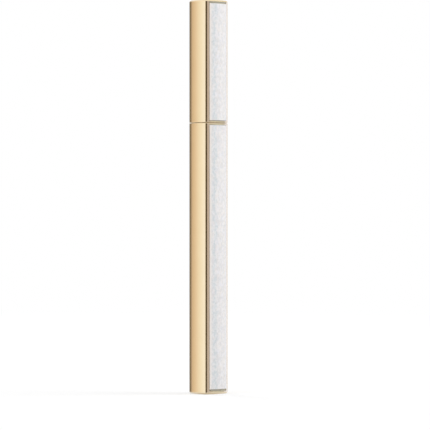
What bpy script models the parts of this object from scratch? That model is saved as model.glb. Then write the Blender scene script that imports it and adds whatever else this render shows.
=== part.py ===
# Liquid eyeliner pen with its cap on. The barrel and the cap share one pillow section: four
# bulged sides, two of them plain gold and two with a pearl panel let in. Inside are an ink tank
# with a mixing ball, a finned feed, a wick, a brush tip in its holder and a sealing inner cap.
# Metres, +Z up. The origin is the middle of the base, and every turned piece is on the Z axis.

import math

import bmesh
import bpy

mm = 0.001

# Barrel and cap, outside
barrel_length = 88.0 * mm
body_width = 11.0 * mm      # X, over the crowns of the plain gold sides
body_depth = 10.0 * mm      # Y, over the crowns of the pearl panels
side_bulge = 0.75 * mm      # rise of a plain side between its corners
face_bulge = 0.75 * mm      # rise of the gold round a panel between its corners
corner_round = 0.75 * mm
end_round = 0.6 * mm        # at the base and at the cap's top
mouth_round = 0.2 * mm      # on both rims of the seam
seam_gap = 0.1 * mm

# Clearances
radial_fit = 0.05 * mm      # between a round piece and the bore it sits in
seat_gap = 0.05 * mm        # between faces that rest on each other
cutter_overrun = 1.0 * mm
weld_distance = 0.001 * mm

# Pearl panels
panel_thickness = 0.25 * mm
panel_proud = 0.1 * mm      # how far a panel's crown stands out of the gold
panel_edge_round = 0.05 * mm
bond_gap = 0.03 * mm        # the glue line under a panel
frame_side = 1.03 * mm      # gold between a corner and the recess
frame_foot = 0.9 * mm       # gold below the barrel's recess
frame_head = 0.62 * mm      # gold above the cap's recess
frame_seam = 0.55 * mm      # gold between the seam and each recess
groove_side = 0.08 * mm     # open groove beside a panel
groove_end = 0.65 * mm      # open groove at the panels' ends far from the seam
groove_seam = 0.25 * mm     # open groove at their ends by the seam

# Barrel, tail plug and ink tank
barrel_wall = 0.67 * mm         # at its thinnest, under a panel
tail_height = 4.0 * mm
tail_floor = 1.0 * mm
tail_wall = 0.8 * mm
tail_chamfer = 0.15 * mm
tail_ring_depth = 0.25 * mm     # the moulded ring groove round the plug
tail_ring_width = 0.6 * mm
tank_wall = 0.55 * mm
tank_plug_flange = 0.8 * mm
tank_plug_height = 4.0 * mm     # the part inside the tank
tank_plug_wall = 0.8 * mm
tank_plug_roof = 1.0 * mm
tank_plug_chamfer = 0.3 * mm
ball_radius = 1.5 * mm

# Neck collar
collar_height = 3.85 * mm       # what shows above the barrel
collar_skirt = 5.0 * mm         # what is pressed into the barrel
collar_chamfer = 0.2 * mm

# Nozzle
shank_length = 28.0 * mm        # below the flange, through the collar and into the tank
shank_wall = 0.75 * mm
shank_lead_in = 0.4 * mm
chamber_roof = 1.4 * mm         # height of the cone that closes the feed's chamber
flange_ledge = 0.44 * mm        # how far the flange is set in from the collar
flange_thickness = 0.95 * mm
flange_round = 0.2 * mm
nozzle_ledge = 1.09 * mm        # how far the body is set in from the flange
bead_count = 2
bead_height = 1.13 * mm         # from groove to groove
bead_set_in = 0.03 * mm         # how far the beads are set in from the body
bead_groove_depth = 0.28 * mm   # of the narrow grooves beside them, below the body
bead_groove_width = 0.14 * mm
nozzle_body_height = 2.18 * mm  # the straight part
nozzle_body_round = 0.1 * mm    # on its lower edge
flare_height = 7.0 * mm
flare_bend = 0.75               # under 1, the flare narrows sooner
nozzle_end_radius = 1.8 * mm
nozzle_end_height = 2.2 * mm
nozzle_end_round = 0.3 * mm
nozzle_end_wall = 0.55 * mm

# Sealing ring between the nozzle's shank and the tank
ring_section_radius = 0.22 * mm
ring_fit = 0.02 * mm
ring_drop = 4.0 * mm            # its middle, below the tank's mouth

# Feed comb and wick
comb_fit = 0.07 * mm
comb_core_radius = 1.45 * mm
comb_disc = 1.0 * mm            # thickness of its end discs
comb_nose = 4.0 * mm            # the tube that dips into the ink
comb_setback = 0.8 * mm         # its lower disc, inside the shank's end
fin_count = 16
fin_thickness = 0.6 * mm
air_slot_width = 1.1 * mm
ink_slit_width = 0.35 * mm
wick_step = 0.05 * mm           # how much slimmer the wick is than the brush
wick_point = 0.5 * mm
wick_dip = 0.5 * mm             # how far the wick shows below the comb's nose
wick_reach = 1.7 * mm           # how far the wick enters the tip holder

# Tip holder and brush tip
holder_radius = 1.6 * mm
holder_height = 3.2 * mm        # what shows above the nozzle
holder_taper = 0.05 * mm
holder_bevel_height = 0.75 * mm
holder_bevel_step = 0.17 * mm
holder_round = 0.1 * mm
holder_shank = 8.0 * mm
tip_radius = 0.75 * mm
tip_exposed = 5.8 * mm          # from the holder's top to the point
tip_point = 4.0 * mm            # length of the pointed part
tip_pinch = 0.07 * mm           # how far the holder draws the fibres in at its mouth

# Cap, inside
cap_fit = 0.05 * mm             # between the collar and the cap's bore
cap_wall = 0.29 * mm            # at its thinnest, under a panel
cap_mouth_chamfer = 0.12 * mm
cap_seat_ledge = 0.83 * mm      # the ledge that the inner cap is pushed home against
cap_hollow = 4.01 * mm          # empty space above the inner cap
cap_roof = 1.4 * mm
inner_cap_clearance = 0.15 * mm # round the nozzle's body
inner_cap_wall = 0.6 * mm
inner_cap_roof = 1.0 * mm
inner_cap_rim = 1.2 * mm        # height of the rim that closes on the nozzle's flange
inner_cap_chamfer = 0.15 * mm
inner_cap_shoulder = 0.6 * mm   # bevel on its closed end
tip_clearance = 6.0 * mm        # room above the brush tip
rib_count = 6
rib_width = 0.8 * mm
rib_setback = 1.2 * mm          # ribs stop this far below the closed end

# Facets
round_steps = 32
bore_steps = 48
feed_steps = 20
arc_steps = 4
face_steps = 8
corner_steps = 4
flare_steps = 9
flat_angle = math.radians(0.2)
edge_angle = math.radians(60)

# Section of the gold body: each side is an arc over its two corners
corner_x = body_width / 2 - side_bulge
crown_y = body_depth / 2 - panel_proud
corner_y = crown_y - face_bulge
face_radius = (corner_x ** 2 + face_bulge ** 2) / (2 * face_bulge)
side_radius = (corner_y ** 2 + side_bulge ** 2) / (2 * side_bulge)
face_centre_y = crown_y - face_radius
side_centre_x = body_width / 2 - side_radius
recess_half_width = corner_x - frame_side
recess_depth = panel_thickness + bond_gap - panel_proud
bore_room = min(crown_y - recess_depth, body_width / 2)

# Radii, each worked out from the piece around it
barrel_bore_radius = bore_room - barrel_wall
tank_radius = barrel_bore_radius - radial_fit
tank_bore_radius = tank_radius - tank_wall
shank_radius = tank_bore_radius - radial_fit
chamber_radius = shank_radius - shank_wall
comb_radius = chamber_radius - comb_fit
cap_bore_radius = bore_room - cap_wall
collar_radius = cap_bore_radius - cap_fit
flange_radius = collar_radius - flange_ledge
nozzle_radius = flange_radius - nozzle_ledge
bead_root_radius = nozzle_radius - bead_groove_depth
tip_bore_radius = nozzle_end_radius - nozzle_end_wall
tip_shank_radius = tip_bore_radius - radial_fit
wick_radius = tip_radius - wick_step
comb_bore_radius = wick_radius + radial_fit
inner_cap_bore_radius = nozzle_radius + inner_cap_clearance
inner_cap_radius = inner_cap_bore_radius + inner_cap_wall
inner_cap_rim_radius = cap_bore_radius - radial_fit

# Levels, from the base up
tank_plug_base = tail_height + seat_gap
tank_base = tank_plug_base + tank_plug_flange + seat_gap
ink_floor = tank_plug_base + tank_plug_flange + tank_plug_height
collar_base = barrel_length - collar_skirt
tank_top = collar_base - seat_gap
ring_level = tank_top - ring_drop
collar_top = barrel_length + collar_height
flange_base = collar_top + seat_gap
shank_end = flange_base - shank_length
flange_top = flange_base + flange_thickness
nozzle_body_base = flange_top + bead_count * bead_height
flare_base = nozzle_body_base + nozzle_body_height
nozzle_top = flare_base + flare_height + nozzle_end_height
holder_base = nozzle_top + seat_gap
holder_top = holder_base + holder_height
holder_end = holder_base - holder_shank
tip_base = holder_end + wick_reach
tip_end = holder_top + tip_exposed
comb_base = shank_end + comb_setback
comb_nose_end = comb_base - comb_nose
comb_top = flange_base - seat_gap
comb_tube_top = holder_end - seat_gap
wick_base = comb_nose_end - wick_dip
cap_base = barrel_length + seam_gap
inner_cap_base = flange_top + seat_gap
inner_cap_top = tip_end + tip_clearance + inner_cap_roof
cap_seat = inner_cap_top + seat_gap
cap_top = cap_seat + cap_hollow + cap_roof


def clear_scene():
    for obj in list(bpy.data.objects):
        bpy.data.objects.remove(obj)


def new_collection(name):
    collection = bpy.data.collections.new(name)
    bpy.context.scene.collection.children.link(collection)
    return collection


def finish(name, colour, roughness, metallic=0.0):
    material = bpy.data.materials.new(name)
    material.use_nodes = True
    shader = material.node_tree.nodes["Principled BSDF"]
    shader.inputs["Base Color"].default_value = (*colour, 1.0)
    shader.inputs["Roughness"].default_value = roughness
    shader.inputs["Metallic"].default_value = metallic
    return material


def add_object(name, data, collection, material=None):
    obj = bpy.data.objects.new(name, data)
    collection.objects.link(obj)
    if material:
        data.materials.append(material)
    return obj


def mesh_from(bm, name):
    mesh = bpy.data.meshes.new(name)
    bm.to_mesh(mesh)
    bm.free()
    return mesh


def arc(centre, radius, start, end, steps):
    """Points on an arc from one angle to another, both ends included."""
    turns = [start + (end - start) * i / steps for i in range(steps + 1)]
    return [(centre[0] + radius * math.cos(t), centre[1] + radius * math.sin(t)) for t in turns]


def round_top(radius, level, size):
    """A quarter round on a turned piece's upper outer edge, drawn downwards."""
    return arc((radius - size, level - size), size, math.pi / 2, 0, arc_steps)


def round_foot(radius, level, size):
    """A quarter round on a turned piece's lower outer edge, drawn downwards."""
    return arc((radius - size, level + size), size, 0, -math.pi / 2, arc_steps)


def swell(radius, low, high, rise):
    """A band that bulges out from this radius by this rise, drawn downwards."""
    half = (high - low) / 2
    bend = (half ** 2 + rise ** 2) / (2 * rise)
    spread = math.asin(half / bend)
    return arc((radius + rise - bend, (low + high) / 2), bend, spread, -spread, arc_steps)


def turned(name, profile, collection, material=None, steps=round_steps, closed=False):
    """Spins (radius, level) points about Z. A solid starts and ends on the axis. A tube is a
    closed outline, down its outer side and up its bore. The object stands at its lowest level."""
    base = min(level for radius, level in profile)
    bm = bmesh.new()
    points = [bm.verts.new((radius, 0.0, level - base)) for radius, level in profile]
    for first, second in zip(points, points[1:]):
        bm.edges.new((first, second))
    if closed:
        bm.edges.new((points[-1], points[0]))
    obj = add_object(name, mesh_from(bm, name), collection, material)
    obj.location.z = base
    spin = obj.modifiers.new("spin", "SCREW")
    spin.axis = "Z"
    spin.angle = math.tau
    spin.steps = spin.render_steps = steps
    spin.use_merge_vertices = True
    spin.merge_threshold = weld_distance
    spin.use_smooth_shade = True
    return obj


def raised(name, outline, low, high, collection, material=None):
    """An outline in XY raised from one level to another, as a mesh that can be cut."""
    curve = bpy.data.curves.new(name, "CURVE")
    curve.dimensions = "2D"
    curve.fill_mode = "BOTH"
    curve.extrude = (high - low) / 2
    spline = curve.splines.new("POLY")
    spline.points.add(len(outline) - 1)
    for point, (x, y) in zip(spline.points, outline):
        point.co = (x, y, 0.0, 1.0)
    spline.use_cyclic_u = True
    flat = add_object(name + "_outline", curve, collection)
    flat.location.z = (low + high) / 2
    graph = bpy.context.evaluated_depsgraph_get()
    bm = bmesh.new()
    bm.from_mesh(bpy.data.meshes.new_from_object(flat.evaluated_get(graph)))
    bmesh.ops.remove_doubles(bm, verts=bm.verts, dist=weld_distance)
    bmesh.ops.dissolve_limit(bm, angle_limit=flat_angle, verts=bm.verts, edges=bm.edges)
    bmesh.ops.recalc_face_normals(bm, faces=bm.faces)
    solid = add_object(name, mesh_from(bm, name), collection, material)
    solid.matrix_world = flat.matrix_world
    bpy.data.objects.remove(flat)
    return solid


def box(name, low, high, collection):
    """A block between two opposite corners."""
    bm = bmesh.new()
    bmesh.ops.create_cube(bm, size=1.0)
    bmesh.ops.scale(bm, vec=[b - a for a, b in zip(low, high)], verts=bm.verts)
    bmesh.ops.translate(bm, vec=[(a + b) / 2 for a, b in zip(low, high)], verts=bm.verts)
    return add_object(name, mesh_from(bm, name), collection)


def cylinder(name, radius, low, high, collection):
    bm = bmesh.new()
    bmesh.ops.create_cone(bm, cap_ends=True, segments=bore_steps, radius1=radius, radius2=radius,
                          depth=high - low)
    obj = add_object(name, mesh_from(bm, name), collection)
    obj.location.z = (low + high) / 2
    return obj


def combine(obj, other, operation):
    step = obj.modifiers.new(other.name, "BOOLEAN")
    step.object = other
    step.operation = operation
    step.solver = "EXACT"
    other.hide_render = True
    other.display_type = "WIRE"


def pillow_outline(inset):
    """The gold section drawn in by inset. One quarter is worked out and mirrored to the others."""
    reach_face = face_radius - inset - corner_round
    reach_side = side_radius - inset - corner_round
    # The corner's round touches both arcs from inside, so its centre is where two circles cross
    span = math.hypot(side_centre_x, face_centre_y)
    along = (reach_face ** 2 - reach_side ** 2 + span ** 2) / (2 * span)
    across = math.sqrt(reach_face ** 2 - along ** 2)
    unit_x, unit_y = side_centre_x / span, -face_centre_y / span
    centre = (along * unit_x + across * unit_y, face_centre_y + along * unit_y - across * unit_x)
    from_side = math.atan2(centre[1], centre[0] - side_centre_x)
    to_face = math.atan2(centre[1] - face_centre_y, centre[0])
    side = arc((side_centre_x, 0.0), side_radius - inset, 0.0, from_side, face_steps // 2)
    corner = arc(centre, corner_round, from_side, to_face, corner_steps)
    face = arc((0.0, face_centre_y), face_radius - inset, to_face, math.pi / 2, face_steps // 2)
    quarter = side + corner[1:-1] + face
    outline = list(quarter)
    outline += [(-x, y) for x, y in reversed(quarter[:-1])]
    outline += [(-x, -y) for x, y in quarter[1:]]
    outline += [(x, -y) for x, y in reversed(quarter[1:-1])]
    return outline


def pillow_body(name, low, low_round, high, high_round, material):
    """The body between two levels, as a loft of pillow sections whose ends draw in by a round."""
    turns = [math.pi / 2 * i / arc_steps for i in range(arc_steps + 1)]
    levels = [(low + low_round * (1 - math.cos(t)), low_round * (1 - math.sin(t))) for t in turns]
    levels += [(high - high_round * (1 - math.sin(t)), high_round * (1 - math.cos(t))) for t in turns]
    bm = bmesh.new()
    rings = []
    for level, inset in levels:
        rings.append([bm.verts.new((x, y, level)) for x, y in pillow_outline(inset)])
    for lower, upper in zip(rings, rings[1:]):
        for i in range(len(lower)):
            j = (i + 1) % len(lower)
            bm.faces.new((lower[i], lower[j], upper[j], upper[i]))
    bm.faces.new(reversed(rings[0]))
    bm.faces.new(rings[-1])
    return add_object(name, mesh_from(bm, name), parts, material)


def face_arc(radius, half_width):
    """An arc about the centre of the back face's bulge, from +X to -X."""
    spread = math.asin(half_width / radius)
    return arc((0.0, face_centre_y), radius, math.pi / 2 - spread, math.pi / 2 + spread, face_steps)


def facing_outline(outline, facing):
    """The back face's outline, mirrored where it is for the front."""
    return [(x, y * facing) for x, y in outline]


def recess_cutter(name, facing, low, high):
    beyond = crown_y + cutter_overrun
    floor = face_arc(face_radius - recess_depth, recess_half_width)
    outline = floor + [(-recess_half_width, beyond), (recess_half_width, beyond)]
    return raised(name, facing_outline(outline, facing), low, high, cutters)


def pearl_panel(name, facing, low, high):
    """A plate between two levels that follows the face's bulge and stands a little proud."""
    half_width = recess_half_width - groove_side
    outer = face_arc(face_radius + panel_proud, half_width)
    inner = face_arc(face_radius - recess_depth + bond_gap, half_width)
    outline = facing_outline(outer + inner[::-1], facing)
    plate = raised(name, outline, low, high, parts, pearl)
    edge = plate.modifiers.new("edge", "BEVEL")
    edge.width = panel_edge_round
    edge.segments = 1
    edge.limit_method = "ANGLE"
    edge.angle_limit = edge_angle
    return plate


def let_in_panels(shell, prefix, low, low_groove, high, high_groove):
    """Cuts the front and back recesses between two levels and fills each with its panel."""
    panels = []
    for side, facing in (("front", -1), ("back", 1)):
        cutter = recess_cutter(prefix + "_recess_" + side, facing, low, high)
        combine(shell, cutter, "DIFFERENCE")
        panels.append(pearl_panel(prefix + "_panel_" + side, facing, low + low_groove, high - high_groove))
    return panels


def barrel_shell():
    shell = pillow_body("barrel_shell", 0.0, end_round, barrel_length, mouth_round, gold)
    bore = cylinder("barrel_bore", barrel_bore_radius, -cutter_overrun,
                    barrel_length + cutter_overrun, cutters)
    combine(shell, bore, "DIFFERENCE")
    return [shell] + let_in_panels(shell, "barrel", frame_foot, groove_end,
                                   barrel_length - frame_seam, groove_seam)


def tail_plug():
    """A cup pushed into the barrel's foot, its floor flush with the base."""
    ring_low = (tail_height - tail_ring_width) / 2
    ring_high = (tail_height + tail_ring_width) / 2
    return turned("tail_plug", [
        (0.0, tail_floor),
        (tank_radius - tail_wall, tail_floor),
        (tank_radius - tail_wall, tail_height),
        (tank_radius - tail_chamfer, tail_height),
        (tank_radius, tail_height - tail_chamfer),
        (tank_radius, ring_high),
        (tank_radius - tail_ring_depth, ring_high),
        (tank_radius - tail_ring_depth, ring_low),
        (tank_radius, ring_low),
        (tank_radius, tail_chamfer),
        (tank_radius - tail_chamfer, 0.0),
        (0.0, 0.0),
    ], parts, gold)


def tank_plug():
    """Closes the tank's foot: a flange under the tank and a hollow spigot inside it."""
    flange = tank_plug_base + tank_plug_flange
    hollow = shank_radius - tank_plug_wall
    return turned("tank_plug", [
        (0.0, ink_floor),
        (shank_radius - tank_plug_chamfer, ink_floor),
        (shank_radius, ink_floor - tank_plug_chamfer),
        (shank_radius, flange),
        (tank_radius, flange),
        (tank_radius, tank_plug_base),
        (hollow, tank_plug_base),
        (hollow, ink_floor - tank_plug_roof),
        (0.0, ink_floor - tank_plug_roof),
    ], parts, natural_plastic)


def ink_tank():
    return turned("ink_tank", [
        (tank_radius, tank_top),
        (tank_radius, tank_base),
        (tank_bore_radius, tank_base),
        (tank_bore_radius, tank_top),
    ], parts, natural_plastic, bore_steps, closed=True)


def mixing_ball():
    bm = bmesh.new()
    bmesh.ops.create_uvsphere(bm, u_segments=feed_steps, v_segments=feed_steps // 2,
                              radius=ball_radius)
    ball = add_object("mixing_ball", mesh_from(bm, "mixing_ball"), parts, steel)
    ball.data.shade_smooth()
    ball.location.z = ink_floor + seat_gap + ball_radius
    return ball


def neck_collar():
    """The gold ring that the cap slides over, with a skirt inside the barrel."""
    shoulder = barrel_length + seat_gap
    return turned("neck_collar", [
        (collar_radius - collar_chamfer, collar_top),
        (collar_radius, collar_top - collar_chamfer),
        (collar_radius, shoulder),
        (tank_radius, shoulder),
        (tank_radius, collar_base),
        (tank_bore_radius, collar_base),
        (tank_bore_radius, collar_top),
    ], parts, gold, bore_steps, closed=True)


def flare_profile():
    """The flare of the nozzle's body, drawn downwards. It follows half a cosine wave."""
    profile = []
    for i in reversed(range(flare_steps + 1)):
        height_share = i / flare_steps
        radius_share = (1 + math.cos(math.pi * height_share ** flare_bend)) / 2
        radius = nozzle_end_radius + (nozzle_radius - nozzle_end_radius) * radius_share
        profile.append((radius, flare_base + flare_height * height_share))
    return profile


def bead_profile():
    """The sealing beads above the flange and the grooves beside them, drawn downwards."""
    rise = bead_groove_depth - bead_set_in
    profile = [(bead_root_radius, nozzle_body_base)]
    for i in reversed(range(bead_count)):
        low = flange_top + i * bead_height
        profile += swell(bead_root_radius, low, low + bead_height - bead_groove_width, rise)
    return profile


def nozzle():
    """The black front section: a shank that plugs into the tank, a flange, sealing beads and a
    flared body, with one bore for the feed below and the tip above."""
    groove_half = ring_section_radius + ring_fit
    groove_floor = tank_bore_radius - 2 * groove_half
    profile = round_top(nozzle_end_radius, nozzle_top, nozzle_end_round)
    profile += flare_profile()
    profile += round_foot(nozzle_radius, nozzle_body_base, nozzle_body_round)
    profile += bead_profile()
    profile += round_top(flange_radius, flange_top, flange_round)
    profile += [
        (flange_radius, flange_base),
        (shank_radius, flange_base),
        (shank_radius, ring_level + groove_half),
        (groove_floor, ring_level + groove_half),
        (groove_floor, ring_level - groove_half),
        (shank_radius, ring_level - groove_half),
        (shank_radius, shank_end + shank_lead_in),
        (shank_radius - shank_lead_in, shank_end),
        (chamber_radius, shank_end),
        (chamber_radius, flange_base),
        (tip_bore_radius, flange_base + chamber_roof),
        (tip_bore_radius, nozzle_top),
    ]
    return turned("nozzle", profile, parts, gloss_black, closed=True)


def seal_ring():
    bpy.ops.mesh.primitive_torus_add(
        major_segments=round_steps, minor_segments=2 * arc_steps,
        major_radius=tank_bore_radius - ring_fit - ring_section_radius,
        minor_radius=ring_section_radius, location=(0.0, 0.0, ring_level))
    ring = bpy.context.object
    ring.name = ring.data.name = "seal_ring"
    for collection in list(ring.users_collection):
        collection.objects.unlink(ring)
    parts.objects.link(ring)
    ring.data.materials.append(rubber)
    ring.data.shade_smooth()
    return ring


def feed_comb():
    """The finned feed that holds back ink as the tank warms: thin discs on a core, with an air
    slot down one side, an ink slit down the other and a bore for the wick."""
    fins_low = comb_base + comb_disc
    fins_high = comb_top - comb_disc
    gap = (fins_high - fins_low - fin_count * fin_thickness) / (fin_count + 1)
    profile = [
        (tip_shank_radius, comb_tube_top),
        (tip_shank_radius, comb_top),
        (comb_radius, comb_top),
        (comb_radius, fins_high),
        (comb_core_radius, fins_high),
    ]
    for i in reversed(range(fin_count)):
        low = fins_low + gap + i * (gap + fin_thickness)
        high = low + fin_thickness
        profile += [(comb_core_radius, high), (comb_radius, high)]
        profile += [(comb_radius, low), (comb_core_radius, low)]
    profile += [
        (comb_core_radius, fins_low),
        (comb_radius, fins_low),
        (comb_radius, comb_base),
        (tip_shank_radius, comb_base),
        (tip_shank_radius, comb_nose_end),
        (comb_bore_radius, comb_nose_end),
        (comb_bore_radius, comb_tube_top),
    ]
    comb = turned("feed_comb", profile, parts, white_plastic, feed_steps, closed=True)
    beyond = comb_radius + cutter_overrun
    air_slot = box("air_slot", (-air_slot_width / 2, comb_core_radius, fins_low),
                   (air_slot_width / 2, beyond, fins_high), cutters)
    ink_slit = box("ink_slit", (-ink_slit_width / 2, -beyond, comb_base - cutter_overrun),
                   (ink_slit_width / 2, -tip_shank_radius, fins_high), cutters)
    combine(comb, air_slot, "DIFFERENCE")
    combine(comb, ink_slit, "DIFFERENCE")
    return comb


def feed_wick():
    """The fibre rod that carries ink through the feed to the tip."""
    wick_top = tip_base - seat_gap
    return turned("feed_wick", [
        (0.0, wick_top),
        (wick_radius, wick_top),
        (wick_radius, wick_base + wick_point),
        (wick_radius / 2, wick_base),
        (0.0, wick_base),
    ], parts, ink_black, feed_steps)


def tip_holder():
    """The small black ferrule that grips the brush."""
    bore = tip_radius + radial_fit
    bevel_radius = holder_radius - holder_taper
    profile = round_top(bevel_radius - holder_bevel_step, holder_top, holder_round)
    profile += [
        (bevel_radius, holder_top - holder_bevel_height),
        (holder_radius, holder_base),
        (tip_shank_radius, holder_base),
        (tip_shank_radius, holder_end),
        (bore, holder_end),
        (bore, holder_top),
    ]
    return turned("tip_holder", profile, parts, gloss_black, closed=True)


def brush_tip():
    """The bundle of fibres, ground to a parabolic point and drawn in where the holder grips it."""
    point_steps = 2 * arc_steps
    profile = []
    for i in reversed(range(point_steps + 1)):
        share = i / point_steps
        profile.append((tip_radius * (1 - share ** 2), tip_end - tip_point * (1 - share)))
    pinched = tip_radius - tip_pinch
    profile += [(pinched, holder_top), (pinched, tip_base), (0.0, tip_base)]
    return turned("brush_tip", profile, parts, ink_black, feed_steps)


def cap_shell():
    shell = pillow_body("cap_shell", cap_base, mouth_round, cap_top, end_round, gold)
    mouth_radius = cap_bore_radius + cap_mouth_chamfer
    seat_radius = cap_bore_radius - cap_seat_ledge
    bore = turned("cap_bore", [
        (0.0, cap_top - cap_roof),
        (seat_radius, cap_top - cap_roof),
        (seat_radius, cap_seat),
        (cap_bore_radius, cap_seat),
        (cap_bore_radius, cap_base + cap_mouth_chamfer),
        (mouth_radius, cap_base),
        (mouth_radius, cap_base - cutter_overrun),
        (0.0, cap_base - cutter_overrun),
    ], cutters, steps=bore_steps)
    combine(shell, bore, "DIFFERENCE")
    return [shell] + let_in_panels(shell, "cap", cap_base + frame_seam, groove_seam,
                                   cap_top - frame_head, groove_end)


def inner_cap():
    """The sealing cup in the cap: its rim closes on the nozzle's flange and its ribs grip the
    cap's bore."""
    rim_top = inner_cap_base + inner_cap_rim
    cup = turned("inner_cap", [
        (0.0, inner_cap_top),
        (inner_cap_radius - inner_cap_shoulder, inner_cap_top),
        (inner_cap_radius, inner_cap_top - inner_cap_shoulder),
        (inner_cap_radius, rim_top),
        (inner_cap_rim_radius - inner_cap_chamfer, rim_top),
        (inner_cap_rim_radius, rim_top - inner_cap_chamfer),
        (inner_cap_rim_radius, inner_cap_base),
        (inner_cap_bore_radius, inner_cap_base),
        (inner_cap_bore_radius, inner_cap_top - inner_cap_roof),
        (0.0, inner_cap_top - inner_cap_roof),
    ], parts, white_plastic)
    root = inner_cap_bore_radius + inner_cap_wall / 2
    reach = math.sqrt(inner_cap_rim_radius ** 2 - (rib_width / 2) ** 2)
    for i in range(rib_count):
        rib = box("inner_cap_rib_%d" % (i + 1), (root, -rib_width / 2, rim_top - inner_cap_rim / 2),
                  (reach, rib_width / 2, inner_cap_top - rib_setback), cutters)
        rib.rotation_euler.z = math.tau * i / rib_count
        combine(cup, rib, "UNION")
    return cup


def hang_from(name, level, pieces):
    """Parents the pieces to an empty on the axis, where they stay in place."""
    empty = add_object(name, None, parts)
    empty.location.z = level
    bpy.context.view_layer.update()
    for piece in pieces:
        piece.parent = empty
        piece.matrix_parent_inverse = empty.matrix_world.inverted()


clear_scene()
parts = new_collection("liquid_eyeliner_pen")
cutters = new_collection("cutters")
gold = finish("gold", (0.80, 0.62, 0.38), 0.25, 1.0)
pearl = finish("pearl", (0.83, 0.83, 0.85), 0.4)
gloss_black = finish("gloss_black", (0.012, 0.012, 0.013), 0.2)
ink_black = finish("ink_black", (0.01, 0.01, 0.011), 0.85)
white_plastic = finish("white_plastic", (0.80, 0.80, 0.78), 0.4)
natural_plastic = finish("natural_plastic", (0.70, 0.72, 0.70), 0.45)
rubber = finish("rubber", (0.03, 0.03, 0.03), 0.7)
steel = finish("steel", (0.62, 0.62, 0.64), 0.2, 1.0)

# The barrel holds the tank, the feed and the front section; the ball rolls free in the tank
hang_from("pen", 0.0, barrel_shell() + [
    tail_plug(), tank_plug(), ink_tank(), neck_collar(), nozzle(), seal_ring(), feed_comb(),
    feed_wick(), tip_holder(), brush_tip()])
mixing_ball()

# The cap lifts off along the axis, from its mouth
hang_from("cap", cap_base, cap_shell() + [inner_cap()])
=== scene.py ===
import math

import bpy
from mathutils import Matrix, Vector


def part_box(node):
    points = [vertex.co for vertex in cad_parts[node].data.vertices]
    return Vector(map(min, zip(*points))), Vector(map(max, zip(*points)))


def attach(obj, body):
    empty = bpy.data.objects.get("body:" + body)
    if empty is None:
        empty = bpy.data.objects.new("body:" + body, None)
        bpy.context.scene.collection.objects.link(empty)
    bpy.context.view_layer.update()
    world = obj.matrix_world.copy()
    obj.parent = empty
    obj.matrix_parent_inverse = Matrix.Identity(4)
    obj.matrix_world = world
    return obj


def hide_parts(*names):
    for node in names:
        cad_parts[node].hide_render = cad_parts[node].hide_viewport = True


# The looks of a slim eyeliner pen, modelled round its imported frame. Units are metres.

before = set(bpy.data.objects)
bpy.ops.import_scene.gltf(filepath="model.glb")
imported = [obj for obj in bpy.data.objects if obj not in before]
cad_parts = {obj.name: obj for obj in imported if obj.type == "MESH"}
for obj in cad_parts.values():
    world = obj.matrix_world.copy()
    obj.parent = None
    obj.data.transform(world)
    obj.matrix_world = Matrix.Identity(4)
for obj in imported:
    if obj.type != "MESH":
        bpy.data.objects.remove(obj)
bpy.ops.object.select_all(action="DESELECT")
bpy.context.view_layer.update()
scene = bpy.context.scene
scene.view_settings.view_transform = "Standard"
mm = 0.001
weldGap = 0.0005 * mm
restGap = 0.05 * mm    # between pieces that rest on each other, as in the frame
plainWhite = (1.0, 1.0, 1.0)
print("frame loaded:", len(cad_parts), "nodes")


# Small modelling helpers

def startAt(name, point):  # a new piece with a single vertex at this point, left in edit mode
    bpy.ops.object.select_all(action="DESELECT")
    bpy.ops.mesh.primitive_plane_add(size=mm)
    piece = bpy.context.object
    piece.name = piece.data.name = name
    bpy.ops.object.mode_set(mode="EDIT")
    bpy.ops.mesh.select_mode(type="VERT")
    bpy.ops.mesh.select_all(action="SELECT")
    bpy.ops.transform.translate(value=point)
    bpy.ops.mesh.merge(type="CENTER")
    return piece


def drawTo(fromPoint, toPoint):  # extrudes the selected vertex to a new point
    step = Vector(toPoint) - Vector(fromPoint)
    bpy.ops.mesh.extrude_vertices_move(TRANSFORM_OT_translate={"value": step})


def turnAbout(centre, angle, steps):  # extrudes the vertex along an arc, anticlockwise from above
    bpy.ops.mesh.spin(steps=steps, angle=-angle, center=centre, axis=(0, 0, 1))


def tidyMesh():  # merges doubles and points the faces outwards, still in edit mode
    bpy.ops.mesh.select_all(action="SELECT")
    bpy.ops.mesh.remove_doubles(threshold=weldGap)
    bpy.ops.mesh.normals_make_consistent(inside=False)


def applyModifier(piece, kind, **settings):
    bpy.ops.object.select_all(action="DESELECT")
    bpy.context.view_layer.objects.active = piece
    piece.select_set(True)
    modifier = piece.modifiers.new(kind.lower(), kind)
    for key, value in settings.items():
        setattr(modifier, key, value)
    bpy.ops.object.modifier_apply(modifier=modifier.name)


def cutWith(piece, cutter, operation="DIFFERENCE"):
    applyModifier(piece, "BOOLEAN", object=cutter, operation=operation, solver="EXACT")
    bpy.data.objects.remove(cutter)


def softenEdges(piece, width, sharpest=35, segments=2):  # rounds edges, then shades
    applyModifier(piece, "BEVEL", width=width, segments=segments, limit_method="ANGLE",
                  angle_limit=math.radians(sharpest), miter_outer="MITER_ARC")
    shadeSmooth(piece)


def shadeSmooth(piece, angle=40):
    bpy.ops.object.select_all(action="DESELECT")
    bpy.context.view_layer.objects.active = piece
    piece.select_set(True)
    bpy.ops.object.shade_smooth_by_angle(angle=math.radians(angle))
    applyModifier(piece, "WEIGHTED_NORMAL", mode="FACE_AREA", weight=50, keep_sharp=True)


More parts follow.
